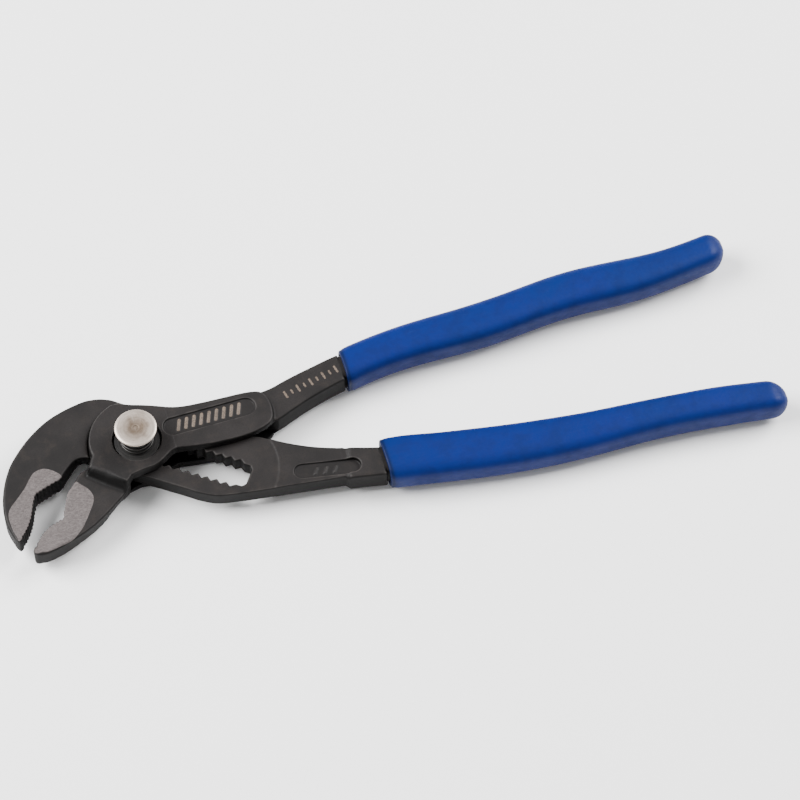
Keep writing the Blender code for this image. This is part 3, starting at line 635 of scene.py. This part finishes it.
def build_slot_arm():
    xs = axis_points((-47.6, -14.0, 0.22), (-14.0, 46.0, 0.29), (46.0, 76.0, 0.36), (76.0, 195.4, 1.1))
    ys = axis_points((-46.5, -33.5, 0.5), (-33.5, 21.2, 0.25))
    zs = axis_points((-4.75, 4.75, 0.215))
    X, Y = np.meshgrid(xs, ys, indexing="ij")
    Z = zs[None, None, :]
    front, rear = ([*HOOK_BACK, *HOOK_TIP, *serrate(HOOK_FACE_OUTER), *serrate(HOOK_FACE_INNER)[1:], *throat, *arc(HOOK_INNER_R, 177, 92, 30)] for throat in (HOOK_THROAT, HOOK_THROAT_REAR))
    grip_line = [HOOK_TIP[0]] + HOOK_FACE_OUTER + HOOK_FACE_INNER[1:]
    rim = 0.95 - 0.7 * step(3.0, 0.8, line_distance(grip_line, X, Y))
    lean = np.clip(Z / JAW_Z * 0.5 + 0.5, 0, 1)
    plan = poly_sd(front, X, Y)[..., None] * lean + poly_sd(rear, X, Y)[..., None] * (1 - lean)
    # thinner towards its point
    thick = JAW_Z - 0.5 * step(-11.0, -22.0, Y)
    F = extrude(plan.astype(np.float32), thick, rim, Z)
    tongue = TONGUE_IN_HOOK + TONGUE_LOWER + ARM_BOTTOM + ARM_TOP + TONGUE_HIDDEN_TOP
    # the machined tongue ends in a low step, concentric with the slot's end
    ex, ey = slot_point(27.0, 0.0)
    outer = step(18.6, 19.4, np.hypot(X - ex, Y - ey)) * (X > 30)
    half = TONGUE_Z + 0.22 * outer + 0.15 * step(54.0, 59.0, X)
    F = np.minimum(F, extrude(poly_sd(tongue, X, Y), half, 0.55, Z))
    shank = extrude(poly_sd(LOWER_SHANK_BOTTOM + LOWER_SHANK_TOP, X, Y), SHANK_Z - 0.9 * step(0.6 + 0.11 * (Y + 31), -0.6 - 0.11 * (Y + 31), X - 60.4 - 0.2 * (Y + 31)), 0.9, Z)
    F = smin(F, shank, 0.8)
    F = np.minimum(F, tang_sd(LOWER_READ, 64.0, LOWER_END - 9, 2.75, SHANK_Z - 0.15, X, Y, Z))
    edge_line = [(SLOT_START, 2.6)]
    u = SLOT_PHASE - 2 * PITCH
    while u < SLOT_LAST_TIP + 0.01:
        edge_line.append((u, tooth_height(u)))
        u += PITCH / 2
    edge_line += [(36.0, SLOT_TIP), (SLOT_END, 2.6)]
    slot = [slot_point(a, SLOT_OFFSET - b) for a, b in edge_line] + [slot_point(a, SLOT_OFFSET + b) for a, b in reversed(edge_line)]
    hole = poly_sd(slot, X, Y)[..., None]
    # the slot's rims are broken by a small chamfer
    F = np.maximum(F, -np.minimum(hole, hole - 0.35 + (TONGUE_Z + 0.02 - np.abs(Z)) * 1.0).astype(np.float32))
    recess = poly_sd(pill(*LOWER_PILL), X, Y)
    bars = slanted_bars((51.2, -24.9), (57.2, -25.9), 3, 2.1, 0.9, 0.36)
    raised = marks_sd(bars, X, Y)
    floor = TONGUE_Z + 0.2 - 0.5 + 0.28 * step(0.15, -0.15, raised)
    cut = smax(deep(recess), deep(floor) - Z, 0.35)
    F = smax(F, -cut, 0.3)
    verts, faces, cells = surface(F, xs, ys, zs)
    curv = curvature_of(F, xs, ys, zs, cells)
    att = patch_attributes(verts, faces, HOOK_PATCH, curv, lambda x, y: np.full(x.shape, 9.0), lambda x, y: poly_sd(pill(*LOWER_PILL), x, y))
    att["flank"] = flank_of(verts, faces)
    # painted shade along the slot's walls
    att["painted_cavity_shade"] = step(0.5, -0.2, poly_sd(slot, verts[:, 0], verts[:, 1])) * 0.8
    obj = add_mesh("hook_lever_forging", verts, faces, att)
    obj.data.materials.append(black_steel("black_oxide_steel_hook", 1.0))
    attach(obj, "hook_lever")
    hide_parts("slot_arm")
    return obj


# ------------------------------------------------------------------ button lever
def build_button_arm():
    xs = axis_points((-42.2, -7.0, 0.22), (-7.0, 46.0, 0.28), (46.0, 70.0, 0.27), (70.0, 194.4, 1.1))
    ys = axis_points((-31.0, 17.0, 0.25), (17.0, 26.0, 0.5))
    zs = axis_points((-7.6, 7.6, 0.235))
    X, Y = np.meshgrid(xs, ys, indexing="ij")
    Z = zs[None, None, :]
    absz = np.abs(Z)
    # the ramp down to the fixed jaw leans the outline from FACE to FOOT
    down = np.clip((CHEEK_Z - absz) / (CHEEK_Z - JAW_Z), 0, 1)
    face_sd, foot_sd = (poly_sd(BOSS_ARC + corners + BOSS_BOTTOM + BOSS_TOP, X, Y)[..., None] for corners in (BOSS_FACE, BOSS_FOOT))
    rim = deep(0.6 + 0.7 * step(4.0, -6.0, Y) * step(-8.0, -12.0, X))
    boss = extrude((face_sd * (1 - down) + foot_sd * down).astype(np.float32), CHEEK_Z, rim[..., 0], Z)
    # the corner by the jaw's back is cut away below the front cheek
    drop = np.minimum(Z - 1.3, 0)
    corner = np.minimum(deep(0.610 * X - 0.792 * Y) - 7.57 - 0.307 * drop, deep(0.239 * X - 0.971 * Y - 0.3 * np.maximum(0, X + 2.0)) - 10.86 - 0.2 * drop)
    boss = smax(boss, np.minimum(corner, 1.3 - Z).astype(np.float32), 0.5)
    high, low = (poly_sd(JAW_ROOT_TOP + JAW_THROAT[:-1] + serrate(JAW_FACE_INNER) + serrate(JAW_FACE_OUTER)[1:] + JAW_TIP + back + JAW_ROOT_INNER, X, Y)[..., None] for back in (JAW_BACK_HIGH, JAW_BACK_LOW))
    lean = np.clip(Z / JAW_Z * 0.5 + 0.5, 0, 1)
    jaw_sd = (high * lean + low * (1 - lean)).astype(np.float32)
    grip_line = [JAW_FACE_INNER[0]] + JAW_FACE_INNER[1:] + JAW_FACE_OUTER[1:] + [JAW_TIP[0]]
    rim = 0.9 - 0.65 * step(3.0, 0.8, line_distance(grip_line, X, Y))
    thick = JAW_Z - 0.5 * step(-28.0, -39.0, X)
    F = smin(boss, extrude(jaw_sd, thick, rim, Z), 0.7)
    half = PLATE_Z_NEAR + (PLATE_Z_FAR - PLATE_Z_NEAR) * (X - 9.0) / 35.0
    plate = extrude(poly_sd(PLATE_BOTTOM, X, Y), half, 0.7, Z)
    F = np.minimum(F, plate)
    shank = extrude(poly_sd(UPPER_SHANK, X, Y), SHANK_Z, 0.9, Z)
    F = smin(F, shank, 1.0)
    F = smax(F, (absz - CHEEK_Z + 0.02).astype(np.float32), 0.02)
    F = np.minimum(F, tang_sd(UPPER_READ, 62.0, UPPER_END - 9, 2.0, SHANK_Z - 0.15, X, Y, Z))
    F = np.minimum(F, 50)
    window = np.maximum(deep(poly_sd(WINDOW, X, Y)), absz - CHEEK_INNER_Z)
    F = np.maximum(F, -window.astype(np.float32))
    recess = poly_sd(pill(*UPPER_PILL), X, Y)
    bars = slanted_bars((13.9, 1.45), (33.6, 2.25), 9, 3.3, 1.3, 0.5)
    raised = marks_sd(bars, X, Y)
    floor = half - 0.55 + 0.3 * step(0.15, -0.15, raised)
    cut = smax(deep(recess), deep(floor) - Z, 0.4)
    F = smax(F, -cut, 0.3)
    R = np.hypot(X, Y)[..., None]
    rear = np.maximum(R - REAR_BORE_R - 0.3 * step(CHEEK_Z - 0.35, CHEEK_Z, -Z), Z + 2.0)
    front = np.maximum(R - FRONT_BORE_R, -Z)
    pocket = np.maximum(R - POCKET_R - 0.35 * step(CHEEK_Z - 0.4, CHEEK_Z, Z), POCKET_FLOOR - Z)
    F = np.maximum(F, -np.minimum(np.minimum(rear, front), pocket).astype(np.float32))
    verts, faces, cells = surface(F, xs, ys, zs)
    curv = curvature_of(F, xs, ys, zs, cells)
    ticks = slanted_bars((49.4, 3.9), (67.2, 8.5), 9, 2.2, 0.0, 0.34)[::2] + slanted_bars((49.4, 3.9), (67.2, 8.5), 9, 1.2, 0.0, 0.3)[1::2]

    def ink_sd(x, y):
        return np.minimum(marks_sd(bars, x, y), marks_sd(ticks, x, y))

    att = patch_attributes(verts, faces, JAW_PATCH, curv, ink_sd, lambda x, y: poly_sd(pill(*UPPER_PILL), x, y))
    att["flank"] = flank_of(verts, faces)
    x, y, z = verts.T
    in_pocket = step(POCKET_R + 0.3, POCKET_R - 0.05, np.hypot(x, y)) * step(CHEEK_Z - 0.1, CHEEK_Z - 0.5, z)
    in_window = step(0.1, -0.4, poly_sd(WINDOW, x, y)) * step(CHEEK_INNER_Z + 0.4, CHEEK_INNER_Z + 0.1, np.abs(z))
    # painted shade on the ramp and in its corner, where shadow falls below the step
    past_face = step(-0.45, 0.1, poly_sd(BOSS_ARC + BOSS_FACE + BOSS_BOTTOM + BOSS_TOP, x, y))
    near_foot = step(1.5, 0.2, poly_sd(BOSS_ARC + BOSS_FOOT + BOSS_BOTTOM + BOSS_TOP, x, y))
    on_ramp = past_face * near_foot * step(JAW_Z - 0.5, JAW_Z - 0.1, z) * step(-6.5, -8.0, x) * step(-3.5, -5.0, y) * 0.82
    att["painted_cavity_shade"] = np.maximum(np.maximum(in_pocket, in_window), on_ramp)
    obj = add_mesh("button_lever_forging", verts, faces, att)
    obj.data.materials.append(black_steel("black_oxide_steel_lever", 1.06))
    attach(obj, "button_lever")
    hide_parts("button_arm")
    return obj


# ------------------------------------------------------------------ pin, button, spring, washer
def lathe(name, profile, segments=160, attributes=None, sharp=28):
    """Turned piece about the pivot axis from a (r, z) profile."""
    verts, faces, rings = [], [], []
    for r, z in profile:
        if r < 1e-6:
            rings.append([len(verts)])
            verts.append((0, 0, z))
        else:
            rings.append(list(range(len(verts), len(verts) + segments)))
            verts += [(r * math.cos(2 * math.pi * k / segments), r * math.sin(2 * math.pi * k / segments), z) for k in range(segments)]
    closed = len(rings[0]) > 1 and len(rings[-1]) > 1
    for low, high in list(zip(rings, rings[1:])) + ([(rings[-1], rings[0])] if closed else []):
        for k in range(segments):
            j = (k + 1) % segments
            if len(low) == 1 and len(high) == 1:
                continue
            if len(low) == 1:
                faces.append([low[0], high[j], high[k]])
            elif len(high) == 1:
                faces.append([low[k], low[j], high[0]])
            else:
                faces.append([low[k], low[j], high[j], high[k]])
    obj = add_mesh(name, verts, faces, attributes, sharp)
    return obj


def rounded(profile, r=0.2, steps=3):
    """Profile with each corner turned into a short arc."""
    out = []
    n = len(profile)
    for i, b in enumerate(profile):
        a, c = profile[i - 1], profile[(i + 1) % n]
        if b[0] < 1e-6 or (i in (0, n - 1) and (profile[0][0] < 1e-6)):
            out.append(b)
            continue
        a, b, c = np.array(a), np.array(b), np.array(c)
        la, lc = np.hypot(*(a - b)), np.hypot(*(c - b))
        q = min(r, la * 0.45, lc * 0.45)
        p0, p1 = b + (a - b) / la * q, b + (c - b) / lc * q
        for k in range(steps + 1):
            t = k / steps
            out.append(tuple((1 - t) ** 2 * p0 + 2 * t * (1 - t) * b + t * t * p1))
    return out


def build_pin():
    xs = axis_points((-6.4, 6.4, 0.16))
    zs = axis_points((-7.0, 12.4, 0.16))
    X, Y = np.meshgrid(xs, xs, indexing="ij")
    Z = zs[None, None, :]
    R = np.hypot(X, Y)[..., None]

    def cylinder(radius, low, high, r):
        a, b = R - radius + r, np.maximum(low - Z, Z - high) + r
        return np.minimum(np.maximum(a, b), 0) + np.hypot(np.maximum(a, 0), np.maximum(b, 0)) - r

    F = np.minimum(cylinder(BEARING_R, PIN_BOTTOM, BEARING_TOP, 0.4), cylinder(NECK_R, -4, NECK_TOP, 0.3))
    # shallow centre dimple in the rear end
    F = np.maximum(F, -(np.sqrt(R ** 2 + (Z - PIN_BOTTOM + 1.6) ** 2) - 2.1))
    low, high = [], []
    for k in range(89):
        u = -KEY_R + 2 * KEY_R * k / 88
        if k in (0, 88):
            u *= 0.99
        limit = math.sqrt(max(0.0, KEY_R ** 2 - u ** 2))
        half = tooth_height(u) - KEY_GAP
        low.append(slot_point(u, max(-limit, SLOT_OFFSET - half)))
        high.append(slot_point(u, min(limit, SLOT_OFFSET + half)))
    key = poly_sd(low + high[::-1], X, Y)
    F = np.minimum(F, np.maximum(np.maximum(deep(key), BEARING_TOP - 0.2 - Z), Z - KEY_TOP)).astype(np.float32)
    verts, faces, _ = surface(F, xs, xs, zs)
    obj = add_mesh("pivot_pin_turned", verts, faces)
    obj.data.materials.append(turned_steel("pin_steel", (0.115, 0.108, 0.102), (0.19, 0.18, 0.17), 0.32, 0.46, 0.7, ORIGIN[:2] * MM))
    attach(obj, "release_pin")
    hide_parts("pivot_pin")


def build_cap():
    profile = [
        (NECK_R + 0.06, CAP_BOTTOM), (4.0, CAP_BOTTOM), (4.2, CAP_BOTTOM + 0.2), (4.2, 12.5), (CAP_R - 0.9, 12.5), (CAP_R - 0.1, 13.05),
        (CAP_R, 13.2), (CAP_R, 13.38), (CAP_R - 0.15, 13.56), (CAP_R - 0.45, 13.7), (CAP_R - 0.9, CAP_TOP - 0.02), (CAP_R - 1.6, CAP_TOP),
        (4.0, CAP_TOP - 0.05), (2.9, CAP_TOP - 0.13), (1.8, CAP_TOP - 0.22), (0.8, CAP_TOP - 0.27), (0, CAP_TOP - 0.28),
        (0, NECK_TOP + 0.2), (NECK_R + 0.06, NECK_TOP + 0.2),
    ]
    top = profile[:16]
    obj = lathe("push_button", rounded(top, 0.15) + profile[16:], 192, sharp=35)
    v = np.array([vertex.co for vertex in obj.data.vertices]) / MM - ORIGIN
    shade = step(4.6, 4.2, np.hypot(v[:, 0], v[:, 1])) * step(12.6, 12.45, v[:, 2])
    layer = obj.data.attributes.new("shade", "FLOAT", "POINT")
    layer.data.foreach_set("value", shade.astype(np.float32))
    n = Nodes("button_nickel")
    p = n.coords()
    radius = n.radius(p, ORIGIN[:2] * MM)
    rings = n.new("ShaderNodeTexNoise", Scale=1.0, Detail=3.0, Roughness=0.7)
    rings.noise_dimensions = "1D"
    n.put(rings.inputs["W"], n.math("MULTIPLY", radius, 1500.0))
    ring = rings.outputs["Fac"]
    cloud = n.noise(p, 300.0, 4.0, 0.6)
    fine = n.noise(p, 1900.0, 3.0, 0.6)
    scratch = n.noise(n.stretch(p, (4200.0, 260.0, 900.0)), 1.0, 2.0, 0.5, 0.4)
    # painted reflection: the top runs from a tan centre to a pale rim, standing in for the domed top's reflection
    reflection_tan, reflection_pale = (0.120, 0.084, 0.057), (0.450, 0.390, 0.340)
    colour = n.mix(n.ramp(n.math("ADD", radius, n.ramp(cloud, 0.3, 0.7, -0.0009, 0.0009)), 0.0014, 0.0068), reflection_tan, reflection_pale)
    colour = n.mix(n.ramp(ring, 0.3, 0.7, 0.0, 0.16), colour, (0.50, 0.44, 0.39))
    colour = n.mix(n.ramp(scratch, 0.66, 0.74, 0.0, 0.35), colour, (0.60, 0.55, 0.50))
    colour = n.mix(n.ramp(cloud, 0.5, 0.8, 0.0, 0.3), colour, (0.20, 0.155, 0.12))
    colour = n.mix(n.attribute("shade"), colour, (0.02, 0.018, 0.017))
    rough = n.ramp(n.math("ADD", n.math("MULTIPLY", ring, 0.5), n.math("MULTIPLY", fine, 0.5)), 0.3, 0.7, 0.34, 0.48)
    height = n.math("ADD", n.math("MULTIPLY", ring, 0.6), n.math("MULTIPLY", fine, 0.4))
    obj.data.materials.append(n.finish(colour, rough, 0.75, n.bump(height, 0.18, 0.00006)))
    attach(obj, "release_pin")
    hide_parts("button_cap")


def build_washer():
    profile = rounded([(3.5, POCKET_FLOOR + 0.2), (7.3, POCKET_FLOOR + 0.2), (7.3, 5.62), (3.5, 5.62)], 0.18, 4)
    obj = lathe("spring_seat", profile, 128, sharp=35)
    obj.data.materials.append(turned_steel("seat_steel", (0.007, 0.0066, 0.0064), (0.014, 0.013, 0.0125), 0.34, 0.5, 0.4, ORIGIN[:2] * MM))
    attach(obj, "pivot_carrier")
    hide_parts("spring_seat_washer")


def build_spring():
    radius, wire, bottom, top, turns = 5.0, 0.36, 5.75, 12.35, 4.25
    per_turn, sides = 72, 18
    count = int(turns * per_turn)
    verts, faces = [], []
    for k in range(count + 1):
        t = k / count
        a = 2 * math.pi * turns * t
        ease = min(1.0, max(0.0, (t * turns - 0.75) / (turns - 1.5)))
        z = bottom + wire + ease * (top - bottom - 3.5 * wire) + 0.75 * wire * (min(1, t * turns / 0.75) + max(0.0, (t * turns - turns + 0.75) / 0.75))
        tip = min(1.0, 0.55 + 3.0 * min(k, count - k) / per_turn * 4)
        for j in range(sides):
            b = 2 * math.pi * j / sides
            r = radius + wire * tip * math.cos(b)
            verts.append((r * math.cos(a), r * math.sin(a), z + wire * tip * math.sin(b)))
    for k in range(count):
        for j in range(sides):
            i = (j + 1) % sides
            faces.append([k * sides + i, k * sides + j, (k + 1) * sides + j, (k + 1) * sides + i])
    faces.append(list(range(sides)))
    faces.append([count * sides + j for j in range(sides)][::-1])
    obj = add_mesh("return_spring", verts, faces, sharp=60)
    obj.data.materials.append(turned_steel("spring_wire", (0.011, 0.0104, 0.010), (0.024, 0.0225, 0.0215), 0.30, 0.44, 0.6, ORIGIN[:2] * MM))
    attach(obj, "pivot_carrier")
    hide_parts("button_spring")
    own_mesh(obj)


# ------------------------------------------------------------------ dipped sleeves
def build_sleeve(name, node, body, read, start, end, inner_shrink, inner_end, tone, swell):
    """Dipped sleeve: soft flat-topped section, rolled lip at its mouth, thin wall over the tang, domed far end."""
    segments, end_len, power = 96, 6.0, 3.2

    def ring(x, shrink, half_z, pw, scale=1.0, zscale=None):
        yc, hw = (float(a) for a in read(x))
        hw = (hw - shrink) * scale
        hz = half_z * (zscale if zscale is not None else scale)
        out = []
        for j in range(segments):
            a = 2 * math.pi * j / segments
            c, d = math.cos(a), math.sin(a)
            out.append((x, yc + math.copysign(abs(c) ** (2 / pw), c) * hw, math.copysign(abs(d) ** (2 / pw), d) * hz))
        return out

    rings, lips = [], []
    # inner wall, from the bottom of the bore to the mouth
    inner_stop = inner_end
    for x in np.linspace(inner_stop, start + 0.5, 40):
        t = max(0.0, (x - (inner_stop - 5)) / 5)
        s = math.sqrt(max(0.05, 1 - t * t))
        rings.append(ring(x, inner_shrink, SHANK_Z + 0.2, 4, s))
        lips.append(0.0)
    # rolled lip
    wall_y, wall_z = inner_shrink - 0.05, GRIP_Z - SHANK_Z - 0.2
    for k in range(0, 9):
        a = math.pi * k / 8
        back = 0.55 * (1 - math.sin(a))
        f = 0.5 - 0.5 * math.cos(a)
        rings.append(ring(start + back, inner_shrink * (1 - f) + 0.3 * f, SHANK_Z + 0.2 + (wall_z - 0.2) * f, 4 + (power - 4) * f))
        lips.append(1.0)
    # outer skin
    xs = list(start + 0.9 + (end - end_len - start - 0.9) * np.linspace(0, 1, 170) ** 1.05)
    xs += [end - end_len + end_len * math.sin(math.radians(90 * k / 22)) for k in range(1, 22)]
    for x in xs:
        t = max(0.0, (x - (end - end_len)) / end_len)
        s = math.sqrt(max(0.0, 1 - t * t))
        zs_ = (0.35 + 0.65 * s) if t < 0.9 else (0.35 + 0.65 * s) * (1 - ((t - 0.9) / 0.1) ** 2 * 0.6)
        tuck = 0.3 * math.exp(-(x - start - 0.9) / 0.8)
        rings.append(ring(x, tuck + swell(x), GRIP_Z - 0.2 * math.exp(-(x - start - 0.9) / 0.8), power, s, min(s ** 0.45, 1.0) * zs_ if t > 0 else 1.0))
        lips.append(math.exp(-(x - start - 0.9) / 0.5))
    verts = [p for r in rings for p in r]
    lip = [v for v, r in zip(lips, rings) for _ in r]
    faces = []
    for k in range(len(rings) - 1):
        for j in range(segments):
            i = (j + 1) % segments
            faces.append([k * segments + i, k * segments + j, (k + 1) * segments + j, (k + 1) * segments + i])
    faces.append(list(range(segments)))
    tip = len(verts)
    yc, _ = read(end)
    verts.append((end, float(yc), 0.0))
    lip.append(0.0)
    base = (len(rings) - 1) * segments
    for j in range(segments):
        faces.append([base + (j + 1) % segments, base + j, tip])
    obj = add_mesh(name, verts, faces, {"lip": lip})
    obj.data.materials.append(vinyl(name + "_vinyl", tone))
    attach(obj, body)
    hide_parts(node)


build_slot_arm()
build_button_arm()
build_pin()
build_cap()
build_washer()
build_spring()
build_sleeve("upper_sleeve", "upper_grip", "button_lever", UPPER_READ, UPPER_START, UPPER_END, 1.65, UPPER_END - 8.4, 1.0, lambda x: 0.0)
build_sleeve("lower_sleeve", "lower_grip", "hook_lever", LOWER_READ, LOWER_START, LOWER_END, 2.4, LOWER_END - 8.4, 0.97, lambda x: 0.0)


# ------------------------------------------------------------------ studio
def build_floor():
    mesh = bpy.data.meshes.new("floor")
    s = 3.0
    mesh.from_pydata([(-s, -s, -0.0002), (s, -s, -0.0002), (s, s, -0.0002), (-s, s, -0.0002)], [], [[0, 1, 2, 3]])
    floor = bpy.data.objects.new("floor", mesh)
    bpy.context.scene.collection.objects.link(floor)
    mat = bpy.data.materials.new("floor_white")
    mat.use_nodes = True
    shader = mat.node_tree.nodes["Principled BSDF"]
    shader.inputs["Base Color"].default_value = (0.90, 0.90, 0.90, 1)
    shader.inputs["Roughness"].default_value = 0.9
    mesh.materials.append(mat)


def area(name, location, target, size, power, colour=(1, 1, 1)):
    light = bpy.data.lights.new(name, "AREA")
    light.shape = "RECTANGLE"
    light.size, light.size_y = size
    light.energy = power
    light.color = colour
    obj = bpy.data.objects.new(name, light)
    obj.location = location
    obj.rotation_euler = (Vector(target) - Vector(location)).to_track_quat("-Z", "Y").to_euler()
    bpy.context.scene.collection.objects.link(obj)


build_floor()
area("key", (-0.95, 0.40, 0.95), (0.0, 0.0, 0.0), (1.0, 0.8), 62.0)
area("side", (1.05, 0.25, 0.90), (0.0, 0.0, 0.0), (0.9, 0.8), 44.0)
world = bpy.data.worlds.new("studio")
bpy.context.scene.world = world
world.use_nodes = True
world.node_tree.nodes["Background"].inputs["Color"].default_value = (1, 1, 1, 1)
world.node_tree.nodes["Background"].inputs["Strength"].default_value = 0.6

camera = bpy.data.cameras.new("camera")
camera.sensor_width = 36.0
camera.lens = 162.0
camera.clip_start, camera.clip_end = 0.05, 20.0
cam = bpy.data.objects.new("camera", camera)
bpy.context.scene.collection.objects.link(cam)
TARGET = Vector(((84.2 + ORIGIN[0]) * MM, (-6.0 + ORIGIN[1]) * MM, ORIGIN[2] * MM))
AZIMUTH, ELEVATION, DISTANCE = math.radians(16.5), math.radians(59.0), 1.14286
forward = Vector((math.sin(AZIMUTH) * math.cos(ELEVATION), math.cos(AZIMUTH) * math.cos(ELEVATION), -math.sin(ELEVATION)))
cam.location = TARGET - forward * DISTANCE
cam.rotation_euler = forward.to_track_quat("-Z", "Y").to_euler()
bpy.context.scene.camera = cam
